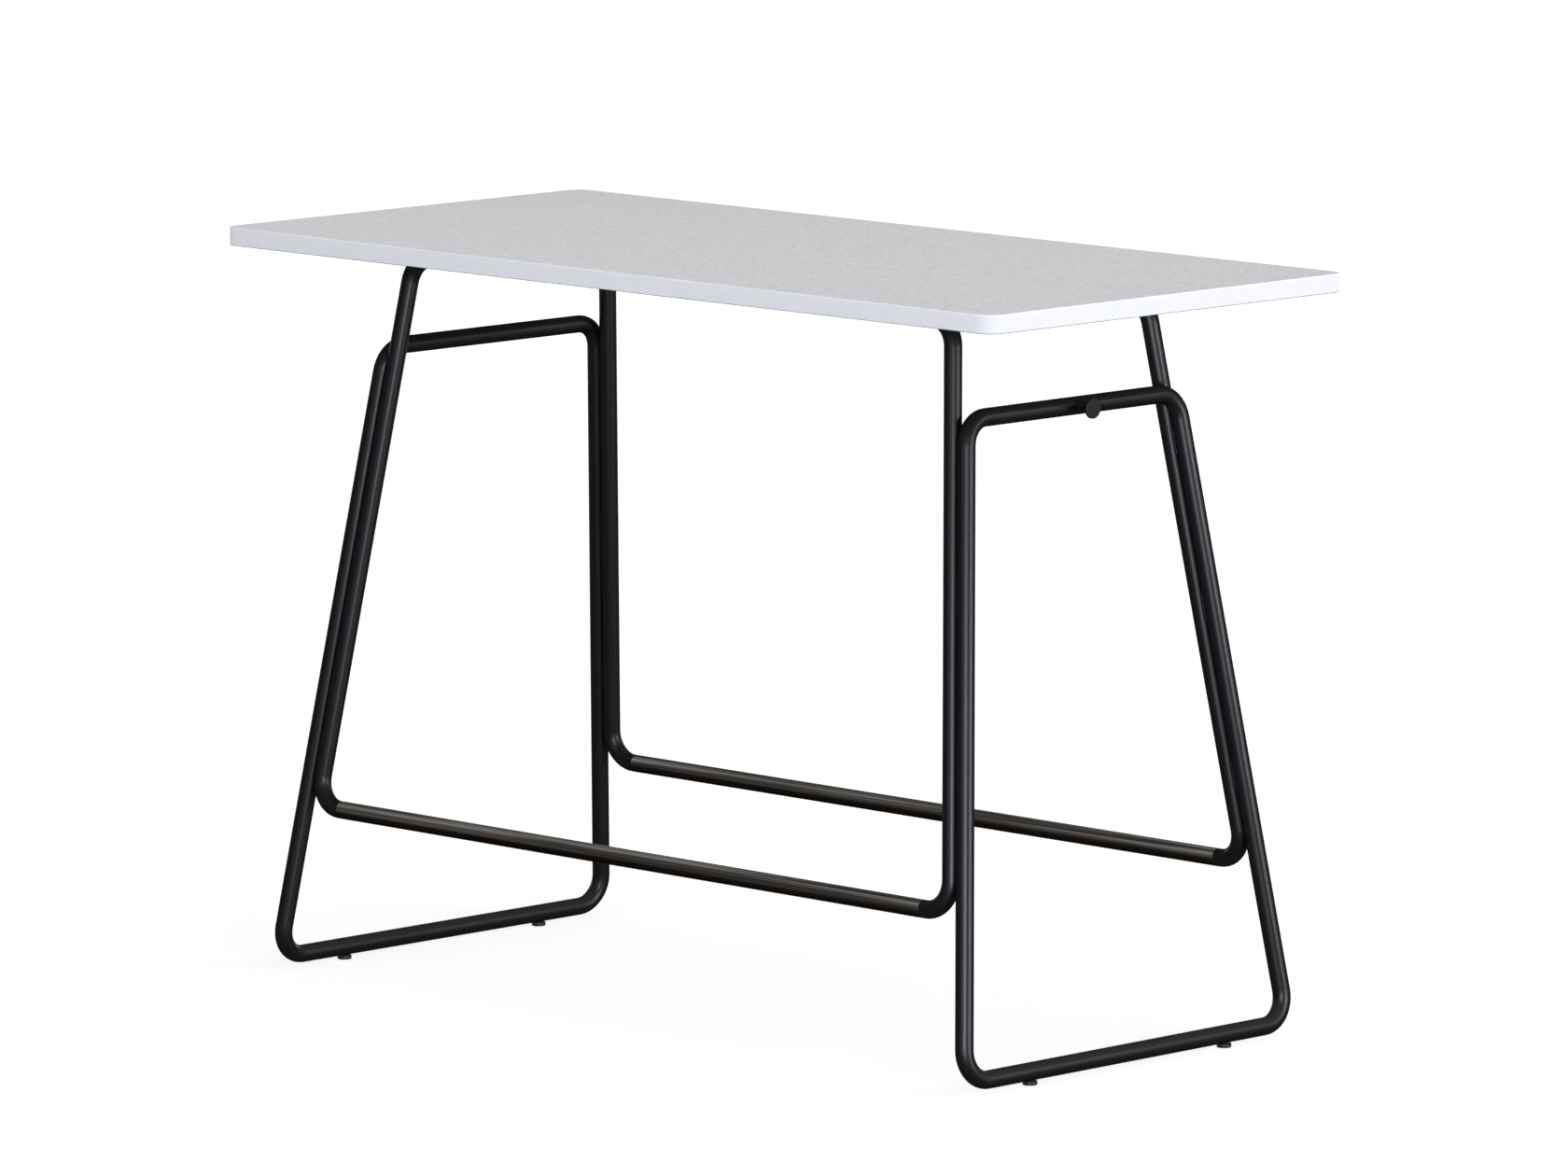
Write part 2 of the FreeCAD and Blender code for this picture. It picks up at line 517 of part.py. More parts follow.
# Screws and washers under the tabs
washers = new_body("tabletop_washers")
rings = new_sketch(washers, "washer_rings", "XY_Plane")
for across, deep in fixings:
    draw_ring(rings, across, deep, "Sizes.washer_radius", "Sizes.screw_radius + Sizes.screw_hole_slack")
pad(washers, "washer_plate", rings, "Sizes.washer_thickness", reversed_way=True)
place(washers, "0", "0", "Layout.underside - Sizes.tab_thickness")

screws = new_body("tabletop_screws")
shanks = new_sketch(screws, "screw_shanks", "XY_Plane")
heads = new_sketch(screws, "screw_heads", "XY_Plane")
for across, deep in fixings:
    draw_circle(shanks, across, deep, "Sizes.screw_radius")
    draw_circle(heads, across, deep, "Sizes.screw_head_radius")
pad(screws, "screw_shank", shanks, "Sizes.screw_length")
screw_head = pad(screws, "screw_head", heads, "Sizes.screw_head_height", reversed_way=True)


def is_head_rim(edge):
    low = edge.BoundBox.ZMax < value("-Sizes.screw_head_height + Sizes.seat_fit")
    return low and edge.BoundBox.XLength > value("2 * Sizes.screw_head_radius - Sizes.screw_head_round")


dress(screws, "Fillet", "screw_head_round", screw_head, is_head_rim, "Radius", "Sizes.screw_head_round")
place(screws, "0", "0", "Layout.underside - Sizes.tab_thickness - Sizes.washer_thickness")

# Bag hook: a turned peg with a wide head, saddled onto the right end loop's top bar.
# Its frame stands on the bar's axis, and X points out of the table.
hook = new_body("bag_hook")
profile = new_sketch(hook, "hook_profile", "XZ_Plane")
stud_end = "Layout.tube_radius + Sizes.hook_stud_grip"
head_back = "Sizes.hook_reach - Sizes.hook_head_thickness"
bore = "Sizes.hook_stud_radius + Sizes.running_fit"
draw_outline(profile, [("Sizes.hook_reach", "0"), ("Sizes.hook_reach", "Sizes.hook_head_radius"),
                       (head_back, "Sizes.hook_head_radius"), (head_back, "Sizes.hook_neck_radius"),
                       ("0", "Sizes.hook_neck_radius"), ("0", bore), (stud_end, bore), (stud_end, "0")])
turned = revolve(hook, "hook_turned", profile, "H_Axis")


def is_head_edge(edge):
    wide = edge.BoundBox.YLength > value("2 * Sizes.hook_head_radius - Sizes.seat_fit")
    return wide and edge.BoundBox.XLength < value("Sizes.seat_fit")


dress(hook, "Fillet", "hook_head_round", turned, is_head_edge, "Radius", "Sizes.hook_head_round")
saddle = new_sketch(hook, "hook_saddle", "XZ_Plane")
draw_circle(saddle, "0", "0", "Layout.tube_radius + Sizes.seat_fit")
pocket(hook, "hook_saddle_cut", saddle, None, through=True)
place(hook, "Layout.end_top_reach", "0", "Layout.end_bar_height")

hook_insert = new_body("bag_hook_insert")
ring = new_sketch(hook_insert, "hook_insert_ring", "YZ_Plane", lift="Layout.hook_insert_sink")
draw_ring(ring, "0", "0", "Sizes.hook_insert_radius", "Sizes.hook_stud_radius + Sizes.running_fit")
pad(hook_insert, "hook_insert_length", ring, "Sizes.hook_insert_length", reversed_way=True)
place(hook_insert, "Layout.end_top_reach", "0", "Layout.end_bar_height")

hook_stud = new_body("bag_hook_stud")
stud_start = "Layout.hook_insert_sink - Sizes.hook_insert_length"
circle = new_sketch(hook_stud, "hook_stud_circle", "YZ_Plane", lift=stud_start)
draw_circle(circle, "0", "0", "Sizes.hook_stud_radius")
pad(hook_stud, "hook_stud_length", circle, "%s - Sizes.seat_fit - (%s)" % (stud_end, stud_start))
place(hook_stud, "Layout.end_top_reach", "0", "Layout.end_bar_height")

# Glides: a plastic pad, a threaded stud whose head is trapped in it, and a threaded insert in the tube.
# Their frames stand on the floor under the floor bar.
for front, deep_sign in (("front", "-1"), ("back", "1")):
    for side, sign in (("left", "-1"), ("right", "1")):
        corner = front + "_" + side
        across = "(%s) * Layout.end_foot_reach" % sign
        deep = "(%s) * Layout.glide_reach" % deep_sign

        glide = new_body("glide_pad_" + corner)
        profile = new_sketch(glide, "pad_profile_" + corner, "XZ_Plane")
        lip_under = "Layout.pad_top - Sizes.glide_lip"
        shank_hole = "Sizes.stud_radius + Sizes.running_fit"
        head_hole = "Sizes.stud_head_radius + Sizes.running_fit"
        draw_outline(profile, [("Sizes.glide_key_radius", "0"), ("Sizes.glide_radius", "0"),
                               ("Sizes.glide_radius", "Layout.pad_top"), (shank_hole, "Layout.pad_top"),
                               (shank_hole, lip_under), (head_hole, lip_under),
                               (head_hole, "Sizes.glide_floor"),
                               ("Sizes.glide_key_radius", "Sizes.glide_floor")])
        turned = revolve(glide, "pad_turned_" + corner, profile, "V_Axis")

        def is_foot_edge(edge):
            low = edge.BoundBox.ZMax < value("Sizes.seat_fit")
            return low and edge.BoundBox.XLength > value("2 * Sizes.stud_head_radius")

        dress(glide, "Fillet", "pad_round_" + corner, turned, is_foot_edge, "Radius", "Sizes.glide_round")
        place(glide, across, deep, "0")

        stud = new_body("glide_stud_" + corner)
        profile = new_sketch(stud, "stud_profile_" + corner, "XZ_Plane")
        head_low = "Sizes.glide_floor + Sizes.running_fit"
        head_high = "Layout.pad_top - Sizes.glide_lip - Sizes.running_fit"
        draw_outline(profile, [("0", head_low), ("Sizes.stud_head_radius", head_low),
                               ("Sizes.stud_head_radius", head_high), ("Sizes.stud_radius", head_high),
                               ("Sizes.stud_radius", "Layout.stud_top"), ("0", "Layout.stud_top")])
        revolve(stud, "stud_turned_" + corner, profile, "V_Axis")
        socket = new_sketch(stud, "stud_socket_outline_" + corner, "XY_Plane", lift=head_low)
        draw_outline(socket, [("Sizes.stud_socket_radius * cos(%d)" % angle,
                               "Sizes.stud_socket_radius * sin(%d)" % angle) for angle in range(0, 360, 60)])
        pocket(stud, "stud_socket_" + corner, socket, "Sizes.stud_socket_depth", towards=True)
        place(stud, across, deep, "0")

        insert = new_body("glide_insert_" + corner)
        ring = new_sketch(insert, "tube_insert_ring_" + corner, "XY_Plane")
        draw_ring(ring, "0", "0", "Sizes.tube_insert_radius", shank_hole)
        pad(insert, "tube_insert_length_" + corner, ring, "Sizes.tube_insert_length")
        place(insert, across, deep, "Layout.foot_axis - Layout.tube_insert_sink")

# Check every object, then write each piece to its own file
doc.recompute()
for thing in doc.Objects:
    if "Invalid" in thing.State or "Error" in thing.State:
        raise RuntimeError("%s is %s" % (thing.Label, thing.State))
bodies = [thing for thing in doc.Objects if thing.TypeId == "PartDesign::Body"]
for body in bodies:
    if body.Shape.isNull() or not body.Shape.isValid():
        raise RuntimeError("%s has no valid shape" % body.Label)
os.makedirs("parts", exist_ok=True)
for body in bodies:
    body.Shape.exportStep("parts/%s.step" % body.Label)
    box = body.Shape.BoundBox
    print("%-26s %d solids %10.1f mm3  x %.1f..%.1f y %.1f..%.1f z %.1f..%.1f"
          % (body.Label, len(body.Shape.Solids), body.Shape.Volume, box.XMin, box.XMax, box.YMin, box.YMax,
             box.ZMin, box.ZMax))
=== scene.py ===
import math

import bpy
from mathutils import Matrix, Vector


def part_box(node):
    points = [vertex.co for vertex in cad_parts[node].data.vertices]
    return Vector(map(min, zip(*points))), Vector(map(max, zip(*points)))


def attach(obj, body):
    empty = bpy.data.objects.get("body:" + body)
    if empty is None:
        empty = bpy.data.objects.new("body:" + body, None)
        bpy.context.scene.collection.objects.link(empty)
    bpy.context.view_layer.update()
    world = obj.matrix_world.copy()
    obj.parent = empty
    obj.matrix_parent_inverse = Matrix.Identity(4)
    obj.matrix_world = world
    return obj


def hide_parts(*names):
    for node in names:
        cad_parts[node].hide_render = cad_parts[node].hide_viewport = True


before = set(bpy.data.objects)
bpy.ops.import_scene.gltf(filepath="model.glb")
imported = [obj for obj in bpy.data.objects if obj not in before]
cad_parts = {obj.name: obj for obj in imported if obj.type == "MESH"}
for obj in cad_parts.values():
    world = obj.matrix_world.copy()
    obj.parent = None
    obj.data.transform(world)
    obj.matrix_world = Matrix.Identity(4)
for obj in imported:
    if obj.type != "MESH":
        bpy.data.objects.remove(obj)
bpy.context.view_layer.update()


# Tabletop core: a board of pressed wood fibre, sawn to size with rounded corners.
# It is drilled from below for six threaded inserts, and the laminate and the edge
# band close it on every side.
def tone(red, green, blue):
    """A colour given as it looks on a screen, 0 to 255, in the linear values of a shader."""
    linear = [((part / 255 + 0.055) / 1.055) ** 2.4 if part > 10 else part / 255 / 12.92
              for part in (red, green, blue)]
    return (*linear, 1.0)


class Signal:
    """An output socket of a shader node. Arithmetic on it adds Math nodes."""

    def __init__(self, finish, socket):
        self.finish = finish
        self.socket = socket

    def maths(self, operation, first, second):
        return self.finish.node("ShaderNodeMath", {"operation": operation}, {0: first, 1: second})

    def __add__(self, other):
        return self.maths("ADD", self, other)

    def __radd__(self, other):
        return self.maths("ADD", other, self)

    def __mul__(self, other):
        return self.maths("MULTIPLY", self, other)

    def __rmul__(self, other):
        return self.maths("MULTIPLY", other, self)


class Finish:
    """The look of a material or of the world, put together node by node."""

    def __init__(self, owner):
        owner.use_nodes = True
        self.owner = owner
        self.tree = owner.node_tree
        self.tree.nodes.clear()

    def node(self, kind, settings=None, sockets=None, output=0):
        """Add a node: its settings first, then the values or links of its sockets."""
        made = self.tree.nodes.new(kind)
        for name, setting in (settings or {}).items():
            setattr(made, name, setting)
        for name, given in (sockets or {}).items():
            if isinstance(given, Signal):
                self.tree.links.new(given.socket, made.inputs[name])
            else:
                made.inputs[name].default_value = given
        return Signal(self, made.outputs[output]) if made.outputs else None

    def place(self, stretch=(1, 1, 1)):
        """The point on the surface, in metres, with each axis scaled."""
        point = self.node("ShaderNodeTexCoord", output=3)
        return self.node("ShaderNodeMapping", sockets={"Vector": point, "Scale": stretch})

    def grain(self, per_metre, detail=2.0, roughness=0.5, stretch=(1, 1, 1)):
        """Noise from 0 to 1 with so many lumps in a metre."""
        sockets = {"Vector": self.place(stretch), "Scale": per_metre, "Detail": detail,
                   "Roughness": roughness}
        return self.node("ShaderNodeTexNoise", sockets=sockets)

    def spread(self, signal, low, high, to_low=0.0, to_high=1.0):
        """Map one stretch of a signal onto another, easing in and out at its ends."""
        sockets = {"Value": signal, "From Min": low, "From Max": high,
                   "To Min": to_low, "To Max": to_high}
        return self.node("ShaderNodeMapRange", {"interpolation_type": "SMOOTHSTEP"}, sockets)

    def blend(self, mask, under, over):
        """One colour where the mask is 0 and another where it is 1."""
        return self.node("ShaderNodeMix", {"data_type": "RGBA"}, {0: mask, 6: under, 7: over}, 2)

    def relief(self, height, depth):
        """A surface that rises by up to a depth, in metres."""
        return self.node("ShaderNodeBump", sockets={"Height": height, "Distance": depth})

    def surface(self, **sockets):
        """A surface shader, its sockets named with underscores for spaces."""
        named = {name.replace("_", " "): given for name, given in sockets.items()}
        return self.node("ShaderNodeBsdfPrincipled", sockets=named)

    def close(self, surface):
        """End the material on a shader."""
        self.node("ShaderNodeOutputMaterial", sockets={"Surface": surface})
        return self.owner


def dress(material, *names):
    """Give nodes of the frame a material."""
    for name in names:
        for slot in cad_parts[name].material_slots:
            slot.material = material


def fibreboard():
    finish = Finish(bpy.data.materials.new("fibreboard"))
    fibres = finish.grain(1400, detail=4, stretch=(1, 1, 4))
    clouds = finish.grain(90)
    colour = finish.blend(fibres * 0.6 + clouds * 0.4, tone(142, 108, 72), tone(198, 166, 122))
    return finish.close(finish.surface(
        Base_Color=colour, Roughness=0.85, Normal=finish.relief(fibres, 0.0003)))


dress(fibreboard(), "tabletop_core")


# Laminate: a sheet of white high-pressure laminate, glued on the core.
# Its face is matt, with a fine grain and a faint mottling pressed into it.
def white_laminate():
    finish = Finish(bpy.data.materials.new("white_laminate"))
    mottling = finish.grain(170, detail=3, roughness=0.6)
    specks = finish.grain(700, detail=1)
    pattern = finish.spread(mottling * 0.6 + specks * 0.4, 0.36, 0.64)
    colour = finish.blend(pattern, tone(209, 208, 211), tone(238, 237, 240))
    rough = finish.spread(mottling, 0.3, 0.7, 0.6, 0.72)
    return finish.close(finish.surface(
        Base_Color=colour, Roughness=rough, Specular_IOR_Level=0.05, Normal=finish.relief(specks, 0.00006)))


dress(white_laminate(), "tabletop_laminate")


# Backing: the plain balancing sheet on the underside of the core.
# It is slightly greyer than the face, and sanded dull.
def backing_laminate():
    finish = Finish(bpy.data.materials.new("backing_laminate"))
    sanding = finish.grain(500, detail=2, stretch=(0.3, 1, 1))
    clouds = finish.grain(14)
    colour = finish.blend(sanding * 0.5 + clouds * 0.5, tone(204, 204, 203), tone(226, 226, 225))
    rough = finish.spread(sanding, 0.3, 0.7, 0.6, 0.75)
    return finish.close(finish.surface(
        Base_Color=colour, Roughness=rough, Specular_IOR_Level=0.3, Normal=finish.relief(sanding, 0.00001)))


dress(backing_laminate(), "tabletop_backing")


# Edge band: a 2 mm plastic strip, bent and glued round the board in one run.
# Its corners are trimmed round, and its face is satin with faint trimming marks.
band_low, band_high = (corner.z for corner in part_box("tabletop_edge_band"))
# painted shade: the lowest strip of the band, its arris that faces down, is coloured dark; painted highlight:
# the trimmed corner on top is coloured near white
painted_shade_line = 0.0012
painted_highlight_line = 0.0017


def edge_plastic():
    finish = Finish(bpy.data.materials.new("edge_plastic"))
    trimming = finish.grain(700, detail=2, stretch=(0.12, 0.12, 1))
    clouds = finish.grain(30)
    up = finish.node("ShaderNodeSeparateXYZ", sockets={0: finish.place()}, output=2)
    # painted shade along the bottom arris, and painted highlight along the top arris
    painted_shade = finish.spread(up, band_low + painted_shade_line / 2, band_low + painted_shade_line)
    painted_highlight = finish.spread(up, band_high - painted_highlight_line, band_high - painted_highlight_line / 2)
    face = finish.blend(trimming * 0.5 + clouds * 0.5, tone(229, 231, 236), tone(236, 238, 243))
    colour = finish.blend(painted_highlight, finish.blend(painted_shade, tone(84, 82, 80), face), tone(250, 250, 254))
    rough = finish.spread(trimming, 0.3, 0.7, 0.45, 0.55)
    return finish.close(finish.surface(
        Base_Color=colour, Roughness=rough, Specular_IOR_Level=0.03, Normal=finish.relief(trimming, 0.00004)))


dress(edge_plastic(), "tabletop_edge_band")


# Threaded inserts: six zinc-plated bushes, driven into the core and flush with the underside.
# Zinc plating is a bright, slightly blue grey with a cloudy bloom.
def zinc_plate():
    finish = Finish(bpy.data.materials.new("zinc_plate"))
    bloom = finish.grain(420, detail=3)
    scratches = finish.grain(1500, detail=2, stretch=(1, 1, 0.2))
    colour = finish.blend(bloom, tone(150, 154, 160), tone(186, 190, 196))
    rough = finish.spread(bloom * 0.7 + scratches * 0.3, 0.3, 0.7, 0.28, 0.46)
    return finish.close(finish.surface(
        Base_Color=colour, Metallic=1.0, Roughness=rough, Normal=finish.relief(scratches, 0.00003)))


zinc = zinc_plate()
dress(zinc, "tabletop_inserts")


# End loops and side loops: round steel tube, bent cold and powder coated satin black
# after welding. The coat flows out almost smooth, with a slight orange peel and a fine grain.
# The sides that face up are painted lighter, most of all near the floor: painted light from above.
coat_sheen = 0.0048
painted_light_height = 0.25


def powder_coat():
    finish = Finish(bpy.data.materials.new("powder_coat"))
    peel = finish.grain(420, detail=1, roughness=0.4)
    dust = finish.grain(2600, detail=1)
    clouds = finish.grain(9)
    clean = finish.blend(clouds * 0.5 + dust * 0.5, tone(7, 8, 9), tone(13, 14, 16))
    facing = finish.node("ShaderNodeTexCoord", output=1)
    upright = finish.node("ShaderNodeSeparateXYZ", sockets={0: facing}, output=2)
    height = finish.node("ShaderNodeSeparateXYZ", sockets={0: finish.place()}, output=2)
    # painted light: sides that face up, most of all near the floor, are coloured lighter as if lit from above
    painted_light_on_tops = finish.spread(upright, 0.1, 0.8) * finish.spread(height, 0, painted_light_height, 1.0, 0.3)
    colour = finish.blend(painted_light_on_tops, clean, tone(41, 41, 43))
    rough = finish.spread(peel * 0.5 + dust * 0.5, 0.3, 0.7, 0.36, 0.41)
    skin_bumps = finish.relief(peel + dust * 0.4, 0.00003)
    pigment = finish.surface(Base_Color=colour, Roughness=rough, Specular_IOR_Level=0.0, Normal=skin_bumps)
    sheen = finish.surface(Base_Color=(1, 1, 1, 1), Metallic=1.0, Roughness=rough, Normal=skin_bumps)
    return finish.close(finish.node("ShaderNodeMixShader", sockets={0: coat_sheen, 1: pigment, 2: sheen}))


coat = powder_coat()
dress(coat, "end_loop_left", "end_loop_right", "side_loop_front", "side_loop_back")


# Leg welds: three runs of weld in the inner valley between each pair of legs.
# A run is a row of overlapping ripples, coated with the tubes, and it starts and ends round.
# the corners of the right end loop's centre line, at its rear leg
foot_corner = Vector((0.675, 0.319, 0.018))
top_corner = Vector((0.567, 0.2055, 0.890))
tube_radius = 0.0125
# the legs of a pair are this far apart, centre to centre
leg_pitch = 0.0251
leg_bead = {"radius": 0.003, "length": 0.040, "rise": 0.0055, "low": 0.330, "high": 0.800, "count": 3}
ripple_pitch = 0.0024
ripple_depth = 0.09
ripple_steps = 6
bead_sides = 22
bead_seat = 0.00005
bead_tip = 0.12
crease_angle = math.radians(40)


def round_wall(across, up, radius):
    """How far a ray runs from a point before it meets a round wall."""
    def reach(start, direction):
        offset = start - Vector((across, up))
        along = direction.dot(offset)
        inside = along ** 2 - offset.length_squared + radius ** 2
        if inside < 0 or along > 0:
            return math.inf
        return max(-along - math.sqrt(inside), 0)
    return reach


def flat_wall(up):
    """How far a ray runs upward from a point before it meets a level wall."""
    def reach(start, direction):
        return (up - start.y) / direction.y if direction.y > 0 else math.inf
    return reach


def bead_rings(centre, radius, length, walls):
    """The rings of one weld run along Z, as lists of points."""
    steps = round(length / ripple_pitch * ripple_steps)
    rings = []
    for step in range(steps + 1):
        along = length * step / steps
        near_end = min(along, length - along)
        rounding = math.sqrt(1 - (1 - min(near_end / radius, 1)) ** 2)
        ring = []
        for side in range(bead_sides):
            angle = math.tau * side / bead_sides
            direction = Vector((math.cos(angle), math.sin(angle)))
            lag = (direction.x * radius) ** 2 / radius
            ripple = abs(math.sin(math.pi * (along + lag) / ripple_pitch))
            swell = radius * (bead_tip + (1 - bead_tip) * rounding) * (1 - ripple_depth * (1 - ripple) ** 2)
            reach = min([swell] + [wall(centre, direction) for wall in walls])
            rim = centre + direction * reach
            ring.append(Vector((rim.x, rim.y, along)))
        rings.append(ring)
    return rings


def skin(name, groups, material):
    """One object from groups of rings, each closed at both ends."""
    points, faces = [], []
    for rings in groups:
        first = len(points)
        count = len(rings[0])
        for ring in rings:
            points.extend(ring)
        for row in range(len(rings) - 1):
            low = first + row * count
            for side in range(count):
                after = (side + 1) % count
                faces.append((low + side, low + after, low + count + after, low + count + side))
        last = first + (len(rings) - 1) * count
        faces.append(tuple(range(first + count - 1, first - 1, -1)))
        faces.append(tuple(range(last, last + count)))
    mesh = bpy.data.meshes.new(name)
    mesh.from_pydata(points, [], faces)
    mesh.polygons.foreach_set("use_smooth", [True] * len(faces))
    mesh.set_sharp_from_angle(angle=crease_angle)
    mesh.materials.append(material)
    piece = bpy.data.objects.new(name, mesh)
    bpy.context.scene.collection.objects.link(piece)
    return piece


def moved(rings, matrix):
    """Rings in a new place; a mirrored place turns them round, so faces still look outward."""
    placed = [[matrix @ point for point in ring] for ring in rings]
    return placed[::-1] if matrix.determinant() < 0 else placed


leg_walls = [round_wall(across, 0, tube_radius + bead_seat) for across in (0, leg_pitch)]
leg_rings = bead_rings(Vector((leg_pitch / 2, leg_bead["rise"])), leg_bead["radius"],
                       leg_bead["length"], leg_walls)
upward = (top_corner - foot_corner).normalized()
inward_y = Vector((0, -1, 0))
along_legs = Matrix.Identity(4)
sideways = inward_y.cross(upward).normalized()
valley = upward.cross(sideways).normalized()
for column, axis in enumerate((sideways, valley, upward)):
    along_legs.col[column] = (*axis, 0)
along_legs.col[3] = (*foot_corner, 1)
for front, deep_sign in (("front", -1), ("back", 1)):
    for side, sign in (("left", -1), ("right", 1)):
        corner = front + "_" + side
        runs = []
        for index in range(leg_bead["count"]):
            share = index / (leg_bead["count"] - 1)
            start = leg_bead["low"] + (leg_bead["high"] - leg_bead["low"]) * share
            place = Matrix.Diagonal((sign, deep_sign, 1, 1)) @ along_legs @ Matrix.Translation((0, 0, start))
            runs.append(moved(leg_rings, place))
        weld = skin("leg_weld_runs_" + corner, runs, coat)
        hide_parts("leg_welds_" + corner)
        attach(weld, "table")


# Foot bars: bare steel tube, brushed lengthwise and left dark, that slides over the
# swaged ends of the side loops. Fine lines from the brush run along the whole bar.
def brushed_steel():
    finish = Finish(bpy.data.materials.new("brushed_steel"))
    lines = finish.spread(finish.grain(620, detail=2, roughness=0.7, stretch=(0.004, 1, 1)), 0.36, 0.64)
    bands = finish.spread(finish.grain(190, detail=1, stretch=(0.008, 1, 1)), 0.38, 0.62)
    facing = finish.node("ShaderNodeTexCoord", output=1)
    lengthwise = finish.node("ShaderNodeSeparateXYZ", sockets={0: facing}, output=0)
    upright = finish.node("ShaderNodeSeparateXYZ", sockets={0: facing}, output=2)
    # painted shade and painted light: the underside is coloured darker and the side facing up lighter, in lit
    # and shaded copies of the streaks
    painted_underside_shade = finish.spread(upright, -0.16, 0.02)
    painted_top_light = finish.spread(upright, 0.1, 0.68)
    streaks = lines * 0.38 + bands * 0.62
    painted_shaded_streaks = finish.blend(streaks, tone(35, 31, 28), tone(68, 62, 56))
    painted_lit_streaks = finish.blend(streaks, tone(38, 38, 36), tone(128, 126, 122))
    brushed_and_painted_light = finish.blend(painted_underside_shade, tone(27, 23, 21), finish.blend(painted_top_light, painted_shaded_streaks, painted_lit_streaks))
    # painted shade: the faces at the bar's ends, in the joint's groove, are coloured near black
    colour = finish.blend(finish.spread(lengthwise * lengthwise, 0.1, 0.4), brushed_and_painted_light, tone(24, 21, 20))
    rough = finish.spread(lines, 0.3, 0.7, 0.42, 0.54)
    return finish.close(finish.surface(
        Base_Color=colour, Metallic=1.0, Roughness=rough,
        Specular_Tint=tone(110, 106, 102), Normal=finish.relief(lines, 0.00002)))


dress(brushed_steel(), "foot_bar_front", "foot_bar_back")


# Grub screws: four socket set screws that lock the foot bars on the swaged ends, from below.
# They are turned from black steel, with a hexagon socket in the face that shows.
def hexagon(apothem):
    """The radius of a hexagon socket at an angle."""
    def radius(angle):
        return apothem / math.cos((angle + math.pi / 6) % (math.pi / 3) - math.pi / 6)
    return radius


def turned_rings(rings, sides):
    """Rings about Z from pairs of a radius and a height, each a number or a rule of the angle."""
    made = []
    for radius, height in rings:
        ring = []
        for side in range(sides):
            angle = math.tau * side / sides
            out = radius(angle) if callable(radius) else radius
            up = height(angle) if callable(height) else height
            ring.append(Vector((out * math.cos(angle), out * math.sin(angle), up)))
        made.append(ring)
    return made


thread_steps = 6


def thread(radius, depth, pitch, low, high):
    """Rings of a right-hand thread between two heights, fading out at its ends."""
    rings = []
    rows = round((high - low) / pitch * thread_steps)
    for row in range(rows + 1):
        up = low + (high - low) * row / rows
        fade = min(1, (up - low) / pitch, (high - up) / pitch)

        def out(angle, up=up, fade=fade):
            turn = (up / pitch - angle / math.tau) % 1
            return radius - depth * (fade * (1 - abs(2 * turn - 1)) + (1 - fade) * 0.5)
        rings.append((out, up))
    return rings


grub_low, grub_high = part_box("foot_bar_grub_screws")
grub = {"radius": 0.0025, "socket": 0.00125, "socket_depth": 0.0019, "socket_flare": 1.3,
        "chamfer": 0.0003, "sides": 30, "pitch": 0.0008, "thread_depth": 0.00035}


def black_oxide():
    finish = Finish(bpy.data.materials.new("black_oxide"))
    bloom = finish.grain(1200, detail=2)
    colour = finish.blend(bloom, tone(36, 36, 38), tone(58, 58, 61))
    rough = finish.spread(bloom, 0.3, 0.7, 0.34, 0.5)
    return finish.close(finish.surface(
        Base_Color=colour, Metallic=0.8, Roughness=rough, Normal=finish.relief(bloom, 0.00002)))


grub_length = grub_high.z - grub_low.z
socket = hexagon(grub["socket"])
grub_rings = turned_rings(
    [(socket, grub["socket_depth"]), (socket, grub["chamfer"] / 2),
     (grub["socket"] * grub["socket_flare"], 0), (grub["radius"] - grub["chamfer"], 0)]
    + thread(grub["radius"], grub["thread_depth"], grub["pitch"], grub["chamfer"],
             grub_length - grub["chamfer"])
    + [(grub["radius"] - grub["chamfer"] * 2, grub_length)], grub["sides"])
sets = []
for across in (grub_low.x + grub["radius"], grub_high.x - grub["radius"]):
    for deep in (grub_low.y + grub["radius"], grub_high.y - grub["radius"]):
        sets.append(moved(grub_rings, Matrix.Translation((across, deep, grub_low.z))))
grubs = skin("grub_screws", sets, black_oxide())
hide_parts("foot_bar_grub_screws")
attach(grubs, "table")


# Fixing tabs: flat steel plates welded to the inner side of the side loops' top bars.
# They lie against the underside of the top and are coated with the frame.
tab_bead = {"radius": 0.0019, "off_corner": 0.0011}
tab_low, tab_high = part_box("fixing_tabs_back")
tab_width = 0.040
tab_thickness = tab_high.z - tab_low.z
dress(coat, "fixing_tabs_front", "fixing_tabs_back")

drop = tube_radius - tab_thickness
corner_reach = math.sqrt(tube_radius ** 2 - drop ** 2)
wedge = math.atan2(-corner_reach, drop) / 2
tab_corner = Vector((corner_reach, drop))
tab_centre = tab_corner + tab_bead["off_corner"] * Vector((math.cos(wedge), math.sin(wedge)))
tab_walls = [round_wall(0, 0, tube_radius + bead_seat), flat_wall(drop)]
tab_rings = bead_rings(tab_centre, tab_bead["radius"], tab_width, tab_walls)
for front, deep_sign in (("front", -1), ("back", 1)):
    low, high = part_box("side_loop_" + front)
    bar_y = deep_sign * (min(abs(low.y), abs(high.y)) + tube_radius)
    bar_z = tab_high.z - tube_radius
    tabs_low, tabs_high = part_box("fixing_tabs_" + front)
    runs = []
    for start in (tabs_low.x, -tab_width / 2, tabs_high.x - tab_width):
        # the run's X points inward from the bar, its Y up and its Z along the bar
        place = Matrix(((0, 0, 1, start), (-deep_sign, 0, 0, bar_y), (0, 1, 0, bar_z), (0, 0, 0, 1)))
        runs.append(moved(tab_rings, place))
    weld = skin("tab_weld_runs_" + front, runs, coat)
    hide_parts("tab_welds_" + front)
    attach(weld, "table")


